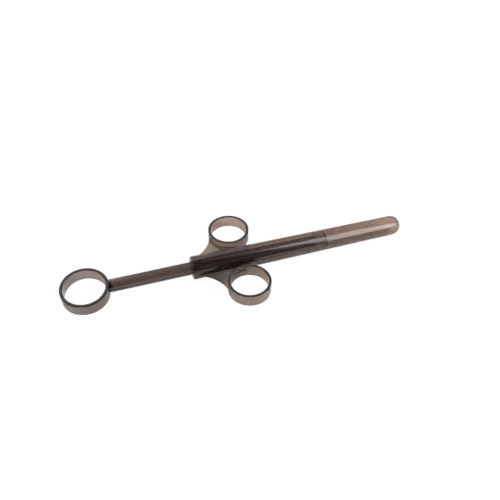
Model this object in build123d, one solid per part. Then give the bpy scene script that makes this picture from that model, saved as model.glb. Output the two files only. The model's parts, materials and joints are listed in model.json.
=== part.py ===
from build123d import *
from math import asin, atan2, degrees, radians, sin, sqrt
import os

# Three-ring plunger syringe in smoke-tinted plastic, all sizes in millimetres.
# It is built along +X, from the barrel's open mouth at X = 0 to the nose, with the
# finger rings' plane in XY. At the end it is laid on a surface: the origin is on that
# surface, below the middle of the whole length.

# Barrel tube: tapered outside, straight bore, hemispherical nose with a small outlet
barrel_length = 156.0
barrel_mouth_diameter = 16.0
barrel_nose_diameter = 14.0
bore_diameter = 11.7
outlet_diameter = 2.5
mouth_edge_round = 0.4

# Finger rings, one each side of the barrel
finger_ring_bore = 25.3
finger_ring_wall = 1.8
finger_ring_height = 8.8
finger_ring_from_mouth = 33.1
finger_ring_gap = 3.4
ring_edge_round = 0.4

# Flat webs that join the finger rings to the barrel
web_thickness = 1.4
web_from_mouth = 2.5
web_hollow_depth = 3.2
web_past_ring_centre = 1.9

# Plunger: thumb ring and hollow rod
thumb_ring_bore = 27.5
thumb_ring_wall = 2.05
thumb_ring_height = 8.9
rod_diameter = 8.8
rod_wall = 2.0
rod_solid_root = 1.5

# Piston head, pressed into the rod's open front end
piston_flange = 2.0
piston_core_diameter = 6.4
piston_spigot_length = 8.0
spigot_interference = 0.02
piston_bore_clearance = 0.25

# Soft seal sleeve in the groove between the rod's front end and the piston's flange
seal_groove_length = 6.4
seal_lip_length = 1.4
seal_waist_depth = 0.4
seal_bore_clearance = 0.03
seal_core_clearance = 0.05
seal_side_clearance = 0.1

# Where the plunger stands
nose_stop_clearance = 0.2       # piston to nose when the plunger is pushed home
thumb_ring_stop_gap = 2.3       # thumb ring to mouth when the plunger is pushed home
plunger_drawn = 53.3            # how far the plunger is drawn back at rest

# Worked out from the sizes above
mouth_radius = barrel_mouth_diameter / 2
nose_radius = barrel_nose_diameter / 2
bore_radius = bore_diameter / 2
outlet_radius = outlet_diameter / 2
nose_centre = barrel_length - nose_radius
nose_end = nose_centre + sqrt(nose_radius**2 - outlet_radius**2)
rod_radius = rod_diameter / 2
rod_bore_radius = rod_radius - rod_wall
piston_radius = bore_radius - piston_bore_clearance
thumb_ring_radius = thumb_ring_bore / 2 + thumb_ring_wall
finger_ring_radius = finger_ring_bore / 2 + finger_ring_wall


def barrel_radius_at(distance):
    """Outside radius of the tapered tube at a distance from its mouth."""
    taper = (mouth_radius - nose_radius) / nose_centre
    return mouth_radius - taper * distance


finger_ring_offset = (
    barrel_radius_at(finger_ring_from_mouth) + finger_ring_gap + finger_ring_radius
)

# The flat piston stops where its rim meets the hollow hemisphere inside the nose
piston_home = (
    nose_centre + sqrt(bore_radius**2 - piston_radius**2) - nose_stop_clearance
)
piston_front = piston_home - plunger_drawn
groove_front = piston_front - piston_flange
rod_front = groove_front - seal_groove_length
thumb_ring_centre = -thumb_ring_stop_gap - thumb_ring_radius - plunger_drawn


def turned(*outline):
    """Solid of revolution about X from a closed outline drawn above it."""
    return revolve(make_face(outline), Axis.X)


def round_ended_bar(start, radius_start, centre, radius):
    """Round bar from start, straight or tapered, that ends in a hemisphere."""
    shoulder = (centre, radius)
    diagonal = radius * sin(radians(45))
    tip = (centre + radius, 0)
    return turned(
        Line((start, 0), (start, radius_start)),
        Line((start, radius_start), shoulder),
        ThreePointArc(shoulder, (centre + diagonal, diagonal), tip),
        Line(tip, (start, 0)),
    )


def bar(start, end, radius):
    """Plain round bar along X."""
    length = end - start
    return Pos((start + end) / 2, 0, 0) * Rot(Y=90) * Cylinder(radius, length)


def grip_ring(bore, wall, height):
    """Finger or thumb ring about Z with rounded rims."""
    rounding = min(ring_edge_round, 0.45 * wall, 0.45 * height)
    section = Pos(bore / 2 + wall / 2, 0) * RectangleRounded(wall, height, rounding)
    return revolve(Plane.XZ * section, Axis.Z)


def ring_hole(bore, height):
    """What a finger goes through: the ring's bore, past both of its faces."""
    return Cylinder(bore / 2, 2 * height)


def make_web():
    """Flat web from the barrel's axis to one finger ring, hollowed at the rear."""
    root = (web_from_mouth, barrel_radius_at(web_from_mouth))
    ring_rear = (finger_ring_from_mouth - finger_ring_radius, finger_ring_offset)
    front = finger_ring_from_mouth + web_past_ring_centre
    outline = make_face(
        [
            Line((web_from_mouth, 0), root),
            SagittaArc(root, ring_rear, -web_hollow_depth),
            Line(ring_rear, (front, finger_ring_offset)),
            Line((front, finger_ring_offset), (front, 0)),
            Line((front, 0), (web_from_mouth, 0)),
        ]
    )
    return extrude(outline, amount=web_thickness / 2, both=True)


def make_barrel():
    """Tube with nose, finger rings and webs, as one moulding."""
    tube = round_ended_bar(0, mouth_radius, nose_centre, nose_radius)
    bore = round_ended_bar(-bore_radius, bore_radius, nose_centre, bore_radius)
    outlet = bar(nose_centre, barrel_length + nose_radius, outlet_radius)
    ring_place = Pos(finger_ring_from_mouth, finger_ring_offset, 0)
    ring = ring_place * grip_ring(finger_ring_bore, finger_ring_wall, finger_ring_height)
    hole = ring_place * ring_hole(finger_ring_bore, finger_ring_height)
    side = (ring + make_web()) - hole
    barrel = tube + side + mirror(side, Plane.XZ) - bore - outlet
    mouth_edges = barrel.edges().filter_by(GeomType.CIRCLE).group_by(Axis.X)[0]
    rounding = min(mouth_edge_round, 0.3 * (mouth_radius - bore_radius), 0.5 * web_from_mouth)
    return fillet(mouth_edges, rounding)


def make_plunger_rod():
    """Thumb ring and rod, hollow from the front end, as one moulding."""
    ring_place = Pos(thumb_ring_centre, 0, 0)
    ring = ring_place * grip_ring(thumb_ring_bore, thumb_ring_wall, thumb_ring_height)
    hole = ring_place * ring_hole(thumb_ring_bore, thumb_ring_height)
    rod = bar(thumb_ring_centre, rod_front, rod_radius)
    cavity_rear = thumb_ring_centre + thumb_ring_radius + rod_solid_root
    cavity = round_ended_bar(
        cavity_rear, rod_bore_radius, rod_front + rod_wall, rod_bore_radius
    )
    return ring + (rod - hole) - cavity


def make_piston_head():
    """Flange that closes the bore, core that carries the seal, and spigot in the rod."""
    spigot_radius = rod_bore_radius + spigot_interference
    spigot = bar(rod_front - piston_spigot_length, rod_front, spigot_radius)
    core = bar(rod_front, groove_front, piston_core_diameter / 2)
    flange = bar(groove_front, piston_front, piston_radius)
    return spigot + core + flange


def make_piston_seal():
    """Soft sleeve with a wiping lip at each end and a waist between them."""
    start = rod_front + seal_side_clearance
    end = groove_front - seal_side_clearance
    lip_radius = bore_radius - seal_bore_clearance
    waist_radius = lip_radius - seal_waist_depth
    inner_radius = piston_core_diameter / 2 + seal_core_clearance
    corners = [
        (start, inner_radius),
        (start, lip_radius),
        (start + seal_lip_length, lip_radius),
        (start + seal_lip_length + seal_waist_depth, waist_radius),
        (end - seal_lip_length - seal_waist_depth, waist_radius),
        (end - seal_lip_length, lip_radius),
        (end, lip_radius),
        (end, inner_radius),
    ]
    return turned(Polyline(*corners, close=True))


# The syringe lies on the barrel and on one finger ring, whose outer lower rim comes
# down to the surface. The plunger turns freely in the barrel, and its ring lies level.
rim_across = finger_ring_offset + finger_ring_radius
rim_below = finger_ring_height / 2
rim_reach = sqrt(rim_across**2 + rim_below**2)
barrel_roll = degrees(
    asin(barrel_radius_at(finger_ring_from_mouth) / rim_reach) - atan2(rim_below, rim_across)
)
middle = (nose_end + thumb_ring_centre - thumb_ring_radius) / 2
on_surface = Pos(-middle, 0, mouth_radius)
rolled = on_surface * Rot(X=-barrel_roll)

pieces = {
    "barrel": rolled * make_barrel(),
    "plunger_rod": on_surface * make_plunger_rod(),
    "piston_head": on_surface * make_piston_head(),
    "piston_seal": on_surface * make_piston_seal(),
}

os.makedirs("parts", exist_ok=True)
for name, piece in pieces.items():
    export_step(piece, f"parts/{name}.step")
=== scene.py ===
"""Looks of a smoke-tinted three-ring plunger syringe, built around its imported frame."""

import json
import logging
import math
from dataclasses import dataclass, field, replace
from enum import Enum
from typing import Any

import bmesh
import bpy
from mathutils import Euler, Matrix, Vector


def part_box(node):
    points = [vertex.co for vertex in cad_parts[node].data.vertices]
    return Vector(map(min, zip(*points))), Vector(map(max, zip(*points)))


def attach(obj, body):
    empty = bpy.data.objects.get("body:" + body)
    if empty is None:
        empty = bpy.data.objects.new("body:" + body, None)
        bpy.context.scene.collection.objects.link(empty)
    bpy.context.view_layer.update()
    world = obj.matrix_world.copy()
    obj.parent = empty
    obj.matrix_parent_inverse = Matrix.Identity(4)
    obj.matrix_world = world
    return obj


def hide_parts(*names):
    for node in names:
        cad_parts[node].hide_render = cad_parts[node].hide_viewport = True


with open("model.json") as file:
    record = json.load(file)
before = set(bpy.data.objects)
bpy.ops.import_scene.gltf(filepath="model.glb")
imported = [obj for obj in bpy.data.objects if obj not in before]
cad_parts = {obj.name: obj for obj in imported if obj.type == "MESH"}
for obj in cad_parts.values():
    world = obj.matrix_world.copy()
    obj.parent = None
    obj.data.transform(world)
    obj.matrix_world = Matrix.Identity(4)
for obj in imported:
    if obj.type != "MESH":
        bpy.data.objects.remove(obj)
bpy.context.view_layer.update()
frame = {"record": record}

log = logging.getLogger("syringe")
MM = 0.001
ALONG, ACROSS, UP = Vector((1, 0, 0)), Vector((0, 1, 0)), Vector((0, 0, 1))

# Distances in millimetres under which points are one, and an edge is level
WELD_TURNED = 1e-5
WELD_FUSED = 1e-4
LEVEL = 1e-6
PLATE_EDGE_SEGMENTS = 3

# Watts for each square metre of an area light that shows a radiance of 1
WATTS_PER_RADIANCE = 4
SEE_THROUGH_BOUNCES = 32
GLOSSY_BOUNCES = 8


class Slot(Enum):
    """The record's material slots."""

    PLASTIC = "smoke_plastic"
    SEAL = "clear_grey_seal"


class Body(Enum):
    """The frame's bodies, each of which moves as one."""

    BARREL = "barrel"
    PLUNGER = "plunger"
    SEAL = "seal"


# ---------------------------------------------------------------- mesh helpers


def section_point(along: float, out: float) -> Vector:
    """Gives a point of a section through the syringe's own axis."""
    return Vector((along, 0, out))


class Outline:
    """A wire drawn point by point, which is then turned or filled."""

    def __init__(self, start: Vector) -> None:
        """Starts the wire.

        Args:
            start: The wire's first point, in millimetres.
        """
        self.mesh = bmesh.new()
        made = bmesh.ops.create_vert(self.mesh, co=start)
        self.first = made["vert"][0]
        self.last = self.first

    def line(self, end: Vector, steps: int = 1) -> "Outline":
        """Adds a straight stretch.

        Args:
            end: Where the stretch ends.
            steps: How many equal edges it is divided into.

        Returns:
            The outline itself, so that calls can be chained.
        """
        stride = (end - self.last.co) / steps
        for _ in range(steps):
            made = bmesh.ops.extrude_vert_indiv(self.mesh, verts=[self.last])
            self.last = made["verts"][0]
            bmesh.ops.translate(self.mesh, verts=[self.last], vec=stride)
        return self

    def arc(self, centre: Vector, axis: Vector, degrees: float, steps: int) -> "Outline":
        """Adds an arc by spinning the wire's end.

        Args:
            centre: The arc's centre.
            axis: The direction that the arc turns about.
            degrees: How far it turns.
            steps: How many edges it has.

        Returns:
            The outline itself, so that calls can be chained.
        """
        made = bmesh.ops.spin(
            self.mesh,
            geom=[self.last],
            cent=centre,
            axis=axis,
            angle=math.radians(degrees),
            steps=steps,
            use_duplicate=False,
        )
        self.last = next(v for v in made["geom_last"] if isinstance(v, bmesh.types.BMVert))
        return self

    def close(self) -> "Outline":
        """Joins the wire's end to its start, and returns the outline."""
        self.mesh.edges.new((self.last, self.first))
        return self

    def turned(self, centre: Vector, axis: Vector, steps: int) -> bmesh.types.BMesh:
        """Spins the wire a full turn into a closed skin.

        Args:
            centre: A point on the axis.
            axis: The direction of the axis.
            steps: How many faces go round.

        Returns:
            The mesh, with its faces pointing outwards.
        """
        bmesh.ops.spin(
            self.mesh,
            geom=self.mesh.verts[:] + self.mesh.edges[:],
            cent=centre,
            axis=axis,
            angle=math.tau,
            steps=steps,
            use_merge=True,
            use_duplicate=False,
        )
        bmesh.ops.remove_doubles(self.mesh, verts=self.mesh.verts, dist=WELD_TURNED)
        bmesh.ops.recalc_face_normals(self.mesh, faces=self.mesh.faces)
        return self.mesh

    def plate(self, thickness: float, edge_round: float) -> bmesh.types.BMesh:
        """Fills the wire and gives it a thickness, with softened edges.

        Args:
            thickness: How thick the plate is, half each side of the wire.
            edge_round: How far its edges are rounded.

        Returns:
            The mesh, with its faces pointing outwards.
        """
        filled = bmesh.ops.contextual_create(self.mesh, geom=self.mesh.edges[:])
        base = filled["faces"][0]
        bmesh.ops.translate(self.mesh, verts=base.verts, vec=(0, 0, -thickness / 2))
        raised = bmesh.ops.extrude_face_region(self.mesh, geom=[base])
        top = [v for v in raised["geom"] if isinstance(v, bmesh.types.BMVert)]
        bmesh.ops.translate(self.mesh, verts=top, vec=(0, 0, thickness))
        bmesh.ops.recalc_face_normals(self.mesh, faces=self.mesh.faces)
        rims = [e for e in self.mesh.edges if abs(e.verts[0].co.z - e.verts[1].co.z) < LEVEL]
        bmesh.ops.bevel(
            self.mesh,
            geom=rims,
            offset=edge_round,
            affect="EDGES",
            segments=PLATE_EDGE_SEGMENTS,
            profile=0.5,
            material=-1,
        )
        return self.mesh


def finished_piece(
    name: str, skin: bmesh.types.BMesh, crease_degrees: float = 35
) -> bpy.types.Object:
    """Makes an object of a mesh drawn in millimetres, smooth but for its creases.

    Args:
        name: The piece's name.
        skin: The mesh, which is freed.
        crease_degrees: Edges that turn by more than this stay sharp.

    Returns:
        The new object, at the origin.
    """
    bmesh.ops.scale(skin, vec=(MM, MM, MM), verts=skin.verts)
    for face in skin.faces:
        face.smooth = True
    crease = math.radians(crease_degrees)
    for edge in skin.edges:
        edge.smooth = not edge.is_manifold or edge.calc_face_angle() < crease
    mesh = bpy.data.meshes.new(name)
    skin.to_mesh(mesh)
    skin.free()
    piece = bpy.data.objects.new(name, mesh)
    bpy.context.scene.collection.objects.link(piece)
    return piece


def fused(parts: list[bmesh.types.BMesh]) -> bmesh.types.BMesh:
    """Unites closed meshes into one skin with no walls left inside.

    Args:
        parts: The meshes, which are freed.

    Returns:
        The mesh of their union.
    """
    objects = []
    for part in parts:
        mesh = bpy.data.meshes.new("part")
        part.to_mesh(mesh)
        part.free()
        objects.append(bpy.data.objects.new("part", mesh))
        bpy.context.scene.collection.objects.link(objects[-1])
    base = objects[0]
    for other in objects[1:]:
        union = base.modifiers.new("union", "BOOLEAN")
        union.operation = "UNION"
        union.solver = "EXACT"
        union.object = other
    result = base.evaluated_get(bpy.context.evaluated_depsgraph_get())
    skin = bmesh.new()
    skin.from_mesh(result.to_mesh())
    result.to_mesh_clear()
    for used in objects:
        mesh = used.data
        bpy.data.objects.remove(used)
        bpy.data.meshes.remove(mesh)
    bmesh.ops.remove_doubles(skin, verts=skin.verts, dist=WELD_FUSED)
    return skin


# ---------------------------------------------------------------- finishes


class NodeBoard:
    """Adds and joins the nodes of one tree."""

    def __init__(self, tree: bpy.types.NodeTree) -> None:
        """Clears the tree and takes charge of it."""
        self.tree = tree
        tree.nodes.clear()

    def add(
        self, kind: str, values: dict[str, Any] | None = None, **settings: Any
    ) -> bpy.types.Node:
        """Adds a node.

        Args:
            kind: The node's type name in Blender.
            values: Plain values for its input sockets, by socket name.
            **settings: Its own properties.

        Returns:
            The new node.
        """
        node = self.tree.nodes.new(kind)
        for key, value in settings.items():
            setattr(node, key, value)
        for key, value in (values or {}).items():
            node.inputs[key].default_value = value
        return node

    def join(self, source: bpy.types.NodeSocket, target: bpy.types.NodeSocket) -> None:
        """Links an output socket to an input socket."""
        self.tree.links.new(source, target)

    def math(
        self, operation: str, first: Any, second: Any, clamp: bool = False
    ) -> bpy.types.NodeSocket:
        """Adds a Math node on two sockets or numbers.

        Args:
            operation: The Math node's operation.
            first: Its first value, a socket or a number.
            second: Its second value, a socket or a number.
            clamp: Whether the result is kept between 0 and 1.

        Returns:
            The result's socket.
        """
        node = self.add("ShaderNodeMath", operation=operation, use_clamp=clamp)
        for socket, value in zip(node.inputs, (first, second)):
            if isinstance(value, bpy.types.NodeSocket):
                self.join(value, socket)
            else:
                socket.default_value = value
        return node.outputs[0]


@dataclass(frozen=True)
class MouldedSkin:
    """The marks on a moulded surface: scales in repeats per metre, depths in millimetres."""

    wave_scale: tuple[float, float, float] = (60.0, 160.0, 160.0)
    grain_scale: float = 2600.0
    hair_scale: tuple[float, float, float] = (90.0, 1500.0, 1500.0)
    hair_slant: tuple[float, float, float] = (0.3, 0.12, 0.2)
    hair_roughness: float = 0.7
    hair_from: float = 0.62
    hair_full: float = 0.72
    cloud_scale: float = 45.0
    fine_depth: float = 0.01

    def group(self) -> bpy.types.NodeTree:
        """Builds the group: slow waviness, hairline rubs, fine grain and clouds.

        Returns:
            The node group, which gives a height in millimetres, a rub mask and a cloud mask.
        """
        name = "moulded skin"
        if name in bpy.data.node_groups:
            return bpy.data.node_groups[name]
        tree = bpy.data.node_groups.new(name, "ShaderNodeTree")
        tree.interface.new_socket("Place", in_out="INPUT", socket_type="NodeSocketVector")
        for socket in ("Waviness", "Grain", "Rubs"):
            made = tree.interface.new_socket(
                socket, in_out="INPUT", socket_type="NodeSocketFloat"
            )
            made.default_value = 1.0
        for socket in ("Height", "Rub", "Cloud"):
            tree.interface.new_socket(socket, in_out="OUTPUT", socket_type="NodeSocketFloat")
        board = NodeBoard(tree)
        given = board.add("NodeGroupInput")
        result = board.add("NodeGroupOutput")
        place = given.outputs["Place"]

        drawn_out = board.add("ShaderNodeMapping", {"Scale": self.wave_scale})
        board.join(place, drawn_out.inputs["Vector"])
        waves = board.add("ShaderNodeTexNoise", {"Scale": 1.0, "Detail": 1.0})
        board.join(drawn_out.outputs["Vector"], waves.inputs["Vector"])
        grain = board.add("ShaderNodeTexNoise", {"Scale": self.grain_scale, "Detail": 2.0})
        board.join(place, grain.inputs["Vector"])

        slanted = board.add(
            "ShaderNodeMapping", {"Scale": self.hair_scale, "Rotation": self.hair_slant}
        )
        board.join(place, slanted.inputs["Vector"])
        hairs = board.add(
            "ShaderNodeTexNoise",
            {"Scale": 1.0, "Detail": 3.0, "Roughness": self.hair_roughness},
        )
        board.join(slanted.outputs["Vector"], hairs.inputs["Vector"])
        rub = board.add(
            "ShaderNodeMapRange", {"From Min": self.hair_from, "From Max": self.hair_full}
        )
        board.join(hairs.outputs["Fac"], rub.inputs["Value"])
        rubbed = board.math("MULTIPLY", rub.outputs["Result"], given.outputs["Rubs"])

        cloud = board.add("ShaderNodeTexNoise", {"Scale": self.cloud_scale, "Detail": 2.0})
        board.join(place, cloud.inputs["Vector"])

        wave_height = board.math("MULTIPLY", waves.outputs["Fac"], given.outputs["Waviness"])
        grain_height = board.math("MULTIPLY", grain.outputs["Fac"], given.outputs["Grain"])
        fine_height = board.math("MULTIPLY", grain_height, self.fine_depth)
        surface = board.math("ADD", wave_height, fine_height)
        rub_depth = board.math("MULTIPLY", rubbed, self.fine_depth)
        scratched = board.math("SUBTRACT", surface, rub_depth)
        board.join(scratched, result.inputs["Height"])
        board.join(rubbed, result.inputs["Rub"])
        board.join(cloud.outputs["Fac"], result.inputs["Cloud"])
        return tree


@dataclass(frozen=True)
class SeeThroughFinish:
    """A moulded see-through material, tinted by how far light travels in it."""

    name: str
    lost_per_mm: tuple[float, float, float]
    clear: tuple[float, float, float]
    clouded: tuple[float, float, float]
    refraction: float
    polished: float
    rubbed: float
    waviness: float
    grain: float
    rubs: float

    def material(self) -> bpy.types.Material:
        """Builds the material, or returns it where it is already built."""
        if self.name in bpy.data.materials:
            return bpy.data.materials[self.name]
        material = bpy.data.materials.new(self.name)
        material.use_nodes = True
        board = NodeBoard(material.node_tree)
        where = board.add("ShaderNodeTexCoord")
        skin = board.add(
            "ShaderNodeGroup",
            {"Waviness": self.waviness, "Grain": self.grain, "Rubs": self.rubs},
            node_tree=MouldedSkin().group(),
        )
        board.join(where.outputs["Object"], skin.inputs["Place"])

        shades = {"A": (*self.clear, 1.0), "B": (*self.clouded, 1.0)}
        tint = board.add("ShaderNodeMix", shades, data_type="RGBA")
        board.join(skin.outputs["Cloud"], tint.inputs["Factor"])
        roughness = board.add(
            "ShaderNodeMapRange", {"To Min": self.polished, "To Max": self.rubbed}
        )
        board.join(skin.outputs["Rub"], roughness.inputs["Value"])
        relief = board.add("ShaderNodeBump", {"Strength": 1.0, "Distance": MM})
        board.join(skin.outputs["Height"], relief.inputs["Height"])

        surface = board.add(
            "ShaderNodeBsdfPrincipled",
            {"Metallic": 0.0, "IOR": self.refraction, "Transmission Weight": 1.0},
        )
        board.join(tint.outputs["Result"], surface.inputs["Base Color"])
        board.join(roughness.outputs["Result"], surface.inputs["Roughness"])
        board.join(relief.outputs["Normal"], surface.inputs["Normal"])

        densest = max(self.lost_per_mm) / MM
        kept = tuple(1.0 - lost / MM / densest for lost in self.lost_per_mm)
        inside = board.add(
            "ShaderNodeVolumeAbsorption", {"Color": (*kept, 1.0), "Density": densest}
        )
        output = board.add("ShaderNodeOutputMaterial")
        board.join(surface.outputs["BSDF"], output.inputs["Surface"])
        board.join(inside.outputs["Volume"], output.inputs["Volume"])
        return material


BARREL_PLASTIC = SeeThroughFinish(
    name="barrel smoke plastic",
    lost_per_mm=(0.41, 0.57, 0.67),
    clear=(1.0, 1.0, 0.98),
    clouded=(0.97, 0.97, 0.94),
    refraction=1.57,
    polished=0.11,
    rubbed=0.22,
    waviness=0.0006,
    grain=0.05,
    rubs=0.3,
)
# The plunger looks a little greyer than the barrel
PLUNGER_PLASTIC = replace(
    BARREL_PLASTIC, name="plunger smoke plastic", lost_per_mm=(0.46, 0.555, 0.595)
)
GREY_SEAL = SeeThroughFinish(
    name="grey seal",
    lost_per_mm=(0.03, 0.04, 0.055),
    clear=(0.98, 0.96, 0.93),
    clouded=(0.93, 0.90, 0.86),
    refraction=1.45,
    polished=0.12,
    rubbed=0.25,
    waviness=0.003,
    grain=0.2,
    rubs=0.2,
)


# ---------------------------------------------------------------- the syringe


@dataclass(frozen=True)
class Lie:
    """How the syringe lies in the frame: its mouth, its axis and the barrel's roll."""

    mouth_x: float = field(default_factory=lambda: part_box("barrel")[0].x / MM)
    axis_height: float = field(default_factory=lambda: Lie.mount("thumb_ring")["pos_m"][2] / MM)

    @staticmethod
    def mount(name: str) -> dict[str, Any]:
        """Looks up one of the record's mounts by its name."""
        return next(m for m in frame["record"]["mounts"] if m["name"] == name)

    def plunger_place(self) -> Matrix:
        """Gives the move to the frame from the plunger's own axes, which start at the mouth."""
        return Matrix.Translation((self.mouth_x, 0, self.axis_height))

    def barrel_place(self) -> Matrix:
        """Gives the same move for the barrel, which is rolled onto its far finger ring."""
        up = self.mount("finger_ring_far")["axis"]
        return self.plunger_place() @ Matrix.Rotation(-math.atan2(up[1], up[2]), 4, "X")


@dataclass(frozen=True)
class GripRing:
    """A finger or thumb ring about an upright axis, with rounded rims."""

    bore: float
    wall: float
    height: float
    edge_round: float = 0.18
    edge_steps: int = 6
    side_steps: int = 4
    steps: int = 144

    def skin(self, centre: Vector) -> bmesh.types.BMesh:
        """Turns the ring's section about the ring's axis.

        Args:
            centre: The ring's centre.

        Returns:
            The ring's mesh.
        """
        inner = centre.x + self.bore / 2
        outer = inner + self.wall
        half = self.height / 2
        r = self.edge_round
        y = centre.y
        section = Outline(Vector((inner, y, -half + r)))
        section.line(Vector((inner, y, half - r)), self.side_steps)
        section.arc(Vector((inner + r, y, half - r)), ACROSS, 90, self.edge_steps)
        section.line(Vector((outer - r, y, half)))
        section.arc(Vector((outer - r, y, half - r)), ACROSS, 90, self.edge_steps)
        section.line(Vector((outer, y, -half + r)), self.side_steps)
        section.arc(Vector((outer - r, y, -half + r)), ACROSS, 90, self.edge_steps)
        section.line(Vector((inner + r, y, -half)))
        section.arc(Vector((inner + r, y, -half + r)), ACROSS, 90, self.edge_steps - 1)
        section.close()
        return section.turned(centre, UP, self.steps)


@dataclass(frozen=True)
class Barrel:
    """The barrel with its finger rings and webs, moulded in one."""

    length: float = 156.0
    mouth_radius: float = 8.0
    nose_radius: float = 7.0
    bore_radius: float = 5.85
    outlet_radius: float = 1.25
    mouth_round: float = 0.4
    ring: GripRing = GripRing(bore=25.3, wall=1.8, height=8.8)
    ring_from_mouth: float = 33.1
    ring_gap: float = 3.4
    web_thickness: float = 1.4
    web_from_mouth: float = 2.5
    web_hollow: float = 3.2
    web_past_ring_centre: float = 1.9
    web_root: float = 6.9
    web_edge_round: float = 0.2
    mouth_steps: int = 6
    nose_steps: int = 28
    tube_steps: int = 24
    web_hollow_steps: int = 24
    web_ring_steps: int = 32
    steps: int = 192

    @property
    def nose_centre(self) -> float:
        """How far the centre of the round nose is from the mouth."""
        return self.length - self.nose_radius

    def radius_at(self, distance: float) -> float:
        """Gives the tube's outside radius at a distance from its mouth."""
        narrowed = (self.mouth_radius - self.nose_radius) * distance / self.nose_centre
        return self.mouth_radius - narrowed

    @property
    def ring_offset(self) -> float:
        """How far a finger ring's centre is from the barrel's axis."""
        nearest = self.radius_at(self.ring_from_mouth) + self.ring_gap
        return nearest + self.ring.bore / 2 + self.ring.wall

    def tube(self) -> bmesh.types.BMesh:
        """Turns the tube with its bore, round nose and outlet, and returns its mesh."""
        r = self.mouth_round
        centre = section_point(self.nose_centre, 0)
        outer_start = math.degrees(math.asin(self.outlet_radius / self.nose_radius))
        inner_start = math.degrees(math.asin(self.outlet_radius / self.bore_radius))
        inner_end = self.nose_centre + math.sqrt(self.bore_radius**2 - self.outlet_radius**2)
        wall = Outline(section_point(r, self.bore_radius))
        wall.arc(section_point(r, self.bore_radius + r), ACROSS, 90, self.mouth_steps)
        wall.line(section_point(0, self.mouth_radius - r), 3)
        wall.arc(section_point(r, self.mouth_radius - r), ACROSS, 90, self.mouth_steps)
        wall.line(section_point(self.nose_centre, self.nose_radius), self.tube_steps)
        wall.arc(centre, ACROSS, 90 - outer_start, self.nose_steps)
        wall.line(section_point(inner_end, self.outlet_radius), 2)
        wall.arc(centre, ACROSS, inner_start - 90, self.nose_steps)
        wall.line(section_point(2 * r, self.bore_radius), self.tube_steps)
        wall.close()
        return wall.turned(Vector(), ALONG, self.steps)

    def web(self) -> bmesh.types.BMesh:
        """Draws the flat web from the tube into the far ring's wall, and returns its mesh."""
        ring_centre = Vector((self.ring_from_mouth, self.ring_offset, 0))
        outer = self.ring.bore / 2 + self.ring.wall
        inside_wall = self.ring.bore / 2 + self.ring.wall / 2
        start = Vector((self.web_from_mouth, self.radius_at(self.web_from_mouth), 0))
        end = Vector((self.ring_from_mouth - outer, self.ring_offset, 0))
        chord = end - start
        bend = (chord.length_squared / 4 + self.web_hollow**2) / (2 * self.web_hollow)
        outward = UP.cross(chord).normalized()
        hollow_centre = (start + end) / 2 + outward * (bend - self.web_hollow)
        hollow_turn = 2 * math.degrees(math.asin(chord.length / 2 / bend))
        front = math.degrees(math.asin(self.web_past_ring_centre / inside_wall))
        front_x = self.ring_from_mouth + self.web_past_ring_centre
        plate = Outline(Vector((self.web_from_mouth, self.web_root, 0)))
        plate.line(start)
        plate.arc(hollow_centre, UP, hollow_turn, self.web_hollow_steps)
        plate.line(ring_centre - Vector((inside_wall, 0, 0)))
        plate.arc(ring_centre, UP, 90 + front, self.web_ring_steps)
        plate.line(Vector((front_x, self.web_root, 0)))
        plate.close()
        return plate.plate(self.web_thickness, self.web_edge_round)

    def skin(self) -> bmesh.types.BMesh:
        """Unites tube, rings and webs, and returns the mesh about the barrel's own axis."""
        parts = [self.tube()]
        for side in (1, -1):
            ring_centre = Vector((self.ring_from_mouth, side * self.ring_offset, 0))
            parts.append(self.ring.skin(ring_centre))
            web = self.web()
            if side < 0:
                bmesh.ops.scale(web, vec=(1, -1, 1), verts=web.verts)
                bmesh.ops.recalc_face_normals(web, faces=web.faces)
            parts.append(web)
        return fused(parts)

    def build(self, lie: Lie) -> bpy.types.Object:
        """Makes the barrel piece.

        Args:
            lie: How the syringe lies in the frame.

        Returns:
            The piece, riding on its body.
        """
        skin = self.skin()
        bmesh.ops.transform(skin, matrix=lie.barrel_place(), verts=skin.verts)
        return dressed(
            "barrel_moulding", skin, BARREL_PLASTIC, Body.BARREL, "barrel"
        )


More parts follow.
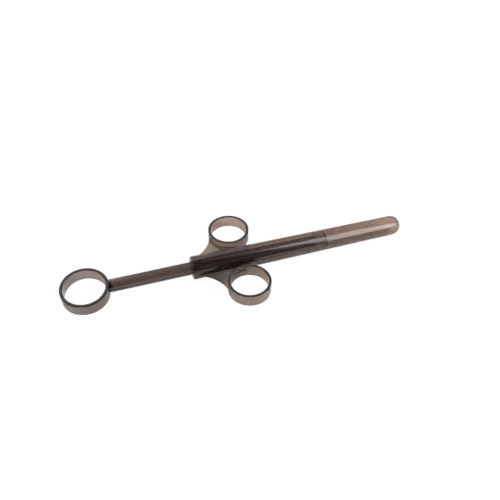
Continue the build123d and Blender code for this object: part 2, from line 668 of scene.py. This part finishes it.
@dataclass(frozen=True)
class Plunger:
    """The plunger: ring and hollow rod in one, with the piston head pressed into it."""

    ring: GripRing = GripRing(bore=27.5, wall=2.05, height=8.9)
    rod_radius: float = 4.4
    rod_wall: float = 2.0
    root_in_wall: float = 0.35
    solid_root: float = 1.5
    rod_end_round: float = 0.2
    flange_length: float = 2.0
    core_radius: float = 3.2
    spigot_length: float = 8.0
    spigot_play: float = 0.03
    spigot_room: float = 1.0
    seat_gap: float = 0.02
    flange_radius: float = 5.6
    flange_round: float = 0.5
    edge_steps: int = 4
    rod_steps: int = 24
    cavity_steps: int = 20
    steps: int = 160

    @property
    def rod_front(self) -> float:
        """Where the rod ends in front, measured from the barrel's mouth."""
        return (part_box("plunger_rod")[1].x / MM) - Lie().mouth_x

    @property
    def ring_centre(self) -> float:
        """Where the thumb ring's centre is, measured from the barrel's mouth."""
        return Lie.mount("thumb_ring")["pos_m"][0] / MM - Lie().mouth_x

    def rod(self) -> bmesh.types.BMesh:
        """Turns the hollow rod from the ring's wall to its front, and returns its mesh."""
        r = self.rod_end_round
        inside = self.rod_radius - self.rod_wall
        ring_inner = self.ring_centre + self.ring.bore / 2
        root = ring_inner + self.ring.wall * self.root_in_wall
        cavity_rear = ring_inner + self.ring.wall + self.solid_root
        spigot_rear = self.rod_front - self.spigot_length
        side = Outline(section_point(root, 0))
        side.line(section_point(root, self.rod_radius), 2)
        side.line(section_point(self.rod_front - r, self.rod_radius), self.rod_steps)
        side.arc(
            section_point(self.rod_front - r, self.rod_radius - r), ACROSS, 90, self.edge_steps
        )
        side.line(section_point(self.rod_front, inside), 2)
        side.line(section_point(spigot_rear - self.spigot_room, inside), 3)
        side.line(section_point(cavity_rear, inside), self.cavity_steps)
        side.line(section_point(cavity_rear, 0), 2)
        return side.turned(Vector(), ALONG, self.steps)

    def rod_skin(self) -> bmesh.types.BMesh:
        """Unites ring and rod, and returns the mesh about the plunger's own axis."""
        return fused([self.ring.skin(Vector((self.ring_centre, 0, 0))), self.rod()])

    def head_skin(self) -> bmesh.types.BMesh:
        """Turns the piston head, a flange on a core with its spigot, and returns its mesh."""
        spigot_radius = self.rod_radius - self.rod_wall - self.spigot_play
        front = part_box("piston_head")[1].x / MM - Lie().mouth_x
        groove_front = front - self.flange_length
        spigot_rear = self.rod_front - self.spigot_length
        shoulder = self.rod_front + self.seat_gap
        r = self.flange_round
        rim = self.flange_radius - r
        side = Outline(section_point(spigot_rear, 0))
        side.line(section_point(spigot_rear, spigot_radius - r), 2)
        side.arc(section_point(spigot_rear + r, spigot_radius - r), ACROSS, 90, self.edge_steps)
        side.line(section_point(shoulder, spigot_radius), 3)
        side.line(section_point(shoulder, self.core_radius), 2)
        side.line(section_point(groove_front, self.core_radius), 3)
        side.line(section_point(groove_front, rim), 2)
        side.arc(section_point(groove_front + r, rim), ACROSS, 90, self.edge_steps)
        side.line(section_point(front - r, self.flange_radius))
        side.arc(section_point(front - r, rim), ACROSS, 90, self.edge_steps)
        side.line(section_point(front, 0), 3)
        return side.turned(Vector(), ALONG, self.steps)

    def build(self, lie: Lie) -> list[bpy.types.Object]:
        """Makes the rod piece and the piston head piece.

        Args:
            lie: How the syringe lies in the frame.

        Returns:
            Both pieces, riding on their body.
        """
        pieces = []
        for name, skin, node in (
            ("plunger_moulding", self.rod_skin(), "plunger_rod"),
            ("piston_spool", self.head_skin(), "piston_head"),
        ):
            bmesh.ops.transform(skin, matrix=lie.plunger_place(), verts=skin.verts)
            pieces.append(
                dressed(name, skin, PLUNGER_PLASTIC, Body.PLUNGER, node)
            )
        return pieces


@dataclass(frozen=True)
class Seal:
    """The soft sleeve on the piston, with a wiping lip at each end."""

    outer_radius: float = 5.82
    inner_radius: float = 3.25
    lip_length: float = 1.4
    waist_depth: float = 0.4
    lip_round: float = 0.15
    lip_steps: int = 5
    steps: int = 128

    def build(self, lie: Lie) -> bpy.types.Object:
        """Makes the seal piece.

        Args:
            lie: How the syringe lies in the frame.

        Returns:
            The piece, riding on its body.
        """
        low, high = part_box("piston_seal")
        start = low.x / MM - lie.mouth_x
        end = high.x / MM - lie.mouth_x
        r = self.lip_round
        waist = self.outer_radius - self.waist_depth
        side = Outline(section_point(start, self.inner_radius))
        side.line(section_point(start, self.outer_radius - r), 2)
        side.arc(section_point(start + r, self.outer_radius - r), ACROSS, 90, self.lip_steps)
        side.line(section_point(start + self.lip_length, self.outer_radius))
        side.line(section_point(start + self.lip_length + self.waist_depth, waist))
        side.line(section_point(end - self.lip_length - self.waist_depth, waist), 2)
        side.line(section_point(end - self.lip_length, self.outer_radius))
        side.line(section_point(end - r, self.outer_radius))
        side.arc(section_point(end - r, self.outer_radius - r), ACROSS, 90, self.lip_steps)
        side.line(section_point(end, self.inner_radius), 2)
        side.close()
        skin = side.turned(Vector(), ALONG, self.steps)
        bmesh.ops.transform(skin, matrix=lie.plunger_place(), verts=skin.verts)
        return dressed("seal_sleeve", skin, GREY_SEAL, Body.SEAL, "piston_seal")


def dressed(
    name: str,
    skin: bmesh.types.BMesh,
    finish: SeeThroughFinish,
    body: Body,
    node: str,
) -> bpy.types.Object:
    """Finishes a piece: its object, material and body, and hides the CAD node that it stands
    for.

    Args:
        name: The piece's name.
        skin: Its mesh in millimetres, already in place.
        finish: What it is made of.
        body: The body that it rides on.
        node: The CAD node that it replaces.

    Returns:
        The finished piece.
    """
    piece = finished_piece(name, skin)
    piece.data.materials.append(finish.material())
    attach(piece, body.value)
    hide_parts(node)
    return piece


# ---------------------------------------------------------------- the studio


@dataclass(frozen=True)
class Floor:
    """The table: white with a faint shadow for the camera, its lit shade in the plastic."""

    half_width: float = 3.0
    height: float = -0.0002
    paper: float = 0.9
    shadow_share: float = 0.12
    glow_seen: float = 0.95
    glow_mirrored: float = 0.2
    glow_behind_plastic: float = 0.02

    def build(self) -> bpy.types.Object:
        """Makes the floor, and returns it."""
        sheet = bmesh.new()
        bmesh.ops.create_grid(sheet, x_segments=1, y_segments=1, size=self.half_width)
        bmesh.ops.translate(sheet, verts=sheet.verts, vec=(0, 0, self.height))
        mesh = bpy.data.meshes.new("table")
        sheet.to_mesh(mesh)
        sheet.free()
        floor = bpy.data.objects.new("table", mesh)
        bpy.context.scene.collection.objects.link(floor)
        floor.data.materials.append(self.material())
        return floor

    def material(self) -> bpy.types.Material:
        """Builds the paper, lifted to white for the camera and a little for other rays."""
        material = bpy.data.materials.new("white table")
        material.use_nodes = True
        board = NodeBoard(material.node_tree)
        path = board.add("ShaderNodeLightPath")
        straight, through = path.outputs["Is Camera Ray"], path.outputs["Is Transmission Ray"]
        # A ray that comes through the plastic counts as glossy too, so it is taken off again
        mirrored = board.math("SUBTRACT", path.outputs["Is Glossy Ray"], through, True)
        paper = board.add("ShaderNodeBsdfDiffuse")
        hidden = board.math("MULTIPLY", straight, 1.0 - self.shadow_share)
        share = board.math("SUBTRACT", 1.0, hidden)
        shade = board.math("MULTIPLY", share, self.paper)
        board.join(shade, paper.inputs["Color"])
        lift = board.math("MULTIPLY", straight, self.glow_seen)
        weaker = ((mirrored, self.glow_mirrored), (through, self.glow_behind_plastic))
        for ray, strength in weaker:
            lift = board.math("ADD", lift, board.math("MULTIPLY", ray, strength))
        glow = board.add("ShaderNodeEmission")
        board.join(lift, glow.inputs["Strength"])
        lit = board.add("ShaderNodeAddShader")
        board.join(paper.outputs["BSDF"], lit.inputs[0])
        board.join(glow.outputs["Emission"], lit.inputs[1])
        output = board.add("ShaderNodeOutputMaterial")
        board.join(lit.outputs["Shader"], output.inputs["Surface"])
        return material


class Quarter(Enum):
    """The lit quarters of the room around the table, by their signs in X and Y."""

    BACK_LEFT = (-1, 1)
    BACK_RIGHT = (1, 1)
    FRONT_RIGHT = (1, -1)


@dataclass(frozen=True)
class Wall:
    """A lit stretch of one quarter of the room, between two heights in degrees."""

    quarter: Quarter
    lowest: float
    highest: float
    radiance: float
    soft_edge: float = 0.03

    def lit(self, board: NodeBoard, toward: bpy.types.Node) -> bpy.types.NodeSocket:
        """Adds the nodes that light this stretch.

        Args:
            board: The world's nodes.
            toward: The node that gives the direction's X, Y and Z.

        Returns:
            The stretch's radiance, which is 0 outside it.
        """
        sign_x, sign_y = self.quarter.value
        edges = (
            ("X", 0.0, sign_x),
            ("Y", 0.0, sign_y),
            ("Z", math.sin(math.radians(self.lowest)), 1),
            ("Z", math.sin(math.radians(self.highest)), -1),
        )
        strength: Any = self.radiance
        for axis, edge, sign in edges:
            blur = sign * self.soft_edge
            side = board.add(
                "ShaderNodeMapRange",
                {"From Min": edge - blur, "From Max": edge + blur},
                interpolation_type="SMOOTHSTEP",
            )
            board.join(toward.outputs[axis], side.inputs["Value"])
            strength = board.math("MULTIPLY", side.outputs["Result"], strength)
        return strength


@dataclass(frozen=True)
class Room:
    """The room's light: brightest low down behind on the left, under a dim ceiling."""

    walls: tuple[Wall, ...] = (
        Wall(Quarter.BACK_LEFT, 10, 30, 3.0),
        Wall(Quarter.BACK_LEFT, 30, 57, 1.3),
        Wall(Quarter.BACK_RIGHT, 0, 10, 0.2),
        Wall(Quarter.BACK_RIGHT, 10, 30, 0.95),
        Wall(Quarter.BACK_RIGHT, 30, 57, 0.95),
        Wall(Quarter.FRONT_RIGHT, -3, 10, 1.2),
        Wall(Quarter.FRONT_RIGHT, 10, 30, 0.15),
        Wall(Quarter.FRONT_RIGHT, 30, 53, 0.35),
    )
    ceiling: float = 0.16
    ceiling_from: float = 0.81
    ceiling_full: float = 0.87

    def build(self) -> None:
        """Makes the world."""
        world = bpy.data.worlds.new("room")
        bpy.context.scene.world = world
        world.use_nodes = True
        board = NodeBoard(world.node_tree)
        where = board.add("ShaderNodeTexCoord")
        toward = board.add("ShaderNodeSeparateXYZ")
        board.join(where.outputs["Generated"], toward.inputs["Vector"])
        heights = {"From Min": self.ceiling_from, "From Max": self.ceiling_full}
        overhead = board.add(
            "ShaderNodeMapRange",
            {**heights, "To Max": self.ceiling},
            interpolation_type="SMOOTHSTEP",
        )
        board.join(toward.outputs["Z"], overhead.inputs["Value"])
        light = overhead.outputs["Result"]
        for wall in self.walls:
            light = board.math("ADD", light, wall.lit(board, toward))
        path = board.add("ShaderNodeLightPath")
        strength = board.math("MAXIMUM", light, path.outputs["Is Camera Ray"])
        shown = board.add("ShaderNodeBackground", {"Color": (1.0, 1.0, 1.0, 1.0)})
        board.join(strength, shown.inputs["Strength"])
        output = board.add("ShaderNodeOutputWorld")
        board.join(shown.outputs["Background"], output.inputs["Surface"])


@dataclass(frozen=True)
class Softbox:
    """A flat lamp that faces the syringe, placed by the edge that it shows on the barrel."""

    name: str
    radiance: float
    width: float
    lowest: float
    highest: float
    distance: float = 1.3
    edge_facing: tuple[float, float, float] = (0.922, 0.355, -0.152)

    def build(self) -> bpy.types.Object:
        """Makes the lamp, and returns it."""
        rightward = Vector(self.edge_facing).normalized()
        middle = math.radians((self.lowest + self.highest) / 2)
        half = math.radians((self.highest - self.lowest) / 2)
        # The middle of the lamp's left edge, at its height as seen along the barrel
        sideways = Vector((0, -math.cos(middle), math.sin(middle)))
        left = sideways - ALONG * (sideways.dot(rightward) / ALONG.dot(rightward))
        left.normalize()
        upward = left.cross(rightward).normalized()
        if upward.z < 0:
            upward.negate()
        position = left * self.distance + rightward * (self.width / 2)
        data = bpy.data.lights.new(self.name, "AREA")
        data.shape = "RECTANGLE"
        data.size = self.width
        data.size_y = 2 * self.distance * math.tan(half)
        data.energy = self.radiance * WATTS_PER_RADIANCE * data.size * data.size_y
        lamp = bpy.data.objects.new(self.name, data)
        facing = rightward.cross(upward)
        if facing.dot(position) < 0:
            facing.negate()
            rightward = -rightward
        turn = Matrix((rightward, upward, facing)).transposed().to_4x4()
        lamp.matrix_world = Matrix.Translation(position) @ turn
        bpy.context.scene.collection.objects.link(lamp)
        return lamp


@dataclass(frozen=True)
class Panel:
    """A square fill lamp that faces the syringe from one direction."""

    name: str
    radiance: float
    towards: tuple[float, float, float]
    size: float = 1.0
    distance: float = 1.3

    def build(self) -> bpy.types.Object:
        """Makes the lamp, and returns it."""
        data = bpy.data.lights.new(self.name, "AREA")
        data.shape = "SQUARE"
        data.size = self.size
        data.energy = self.radiance * WATTS_PER_RADIANCE * self.size**2
        lamp = bpy.data.objects.new(self.name, data)
        place = Vector(self.towards).normalized() * self.distance
        turn = place.to_track_quat("Z", "Y").to_matrix().to_4x4()
        lamp.matrix_world = Matrix.Translation(place) @ turn
        bpy.context.scene.collection.objects.link(lamp)
        return lamp


@dataclass(frozen=True)
class Viewpoint:
    """The photograph's viewpoint, in millimetres and degrees, with its range in metres."""

    position: tuple[float, float, float] = (-80.81, -243.32, 320.48)
    turned: tuple[float, float, float] = (40.116, -2.115, -17.29)
    lens: float = 42.048
    sensor_width: float = 36.0
    nearest: float = 0.01
    farthest: float = 20.0

    def build(self) -> bpy.types.Object:
        """Makes the camera, and returns it."""
        data = bpy.data.cameras.new("viewpoint")
        data.lens = self.lens
        data.sensor_width = self.sensor_width
        data.clip_start = self.nearest
        data.clip_end = self.farthest
        camera = bpy.data.objects.new("viewpoint", data)
        camera.location = Vector(self.position) * MM
        camera.rotation_euler = Euler([math.radians(a) for a in self.turned], "XYZ")
        bpy.context.scene.collection.objects.link(camera)
        bpy.context.scene.camera = camera
        return camera


def main() -> None:
    """Builds the syringe and its studio in order, and reports each piece."""
    logging.basicConfig(level=logging.INFO, format="%(name)s: %(message)s")
    scene = bpy.context.scene
    scene.view_settings.view_transform = "Standard"
    scene.cycles.max_bounces = SEE_THROUGH_BOUNCES
    scene.cycles.transmission_bounces = SEE_THROUGH_BOUNCES
    scene.cycles.glossy_bounces = GLOSSY_BOUNCES

    lie = Lie()
    pieces = [Barrel().build(lie), *Plunger().build(lie), Seal().build(lie)]
    for piece in pieces:
        log.info("%s: %d faces", piece.name, len(piece.data.polygons))

    Floor().build()
    Room().build()
    for lamp in (
        Softbox("strip lamp", radiance=3.1, width=0.36, lowest=24, highest=78),
        Softbox("overhead lamp", radiance=0.55, width=1.2, lowest=78, highest=104),
        Panel("right lamp", radiance=2.6, towards=(0.78, -0.38, 0.5), size=0.8),
    ):
        lamp.build()
    Viewpoint().build()


if __name__ == "__main__":
    main()
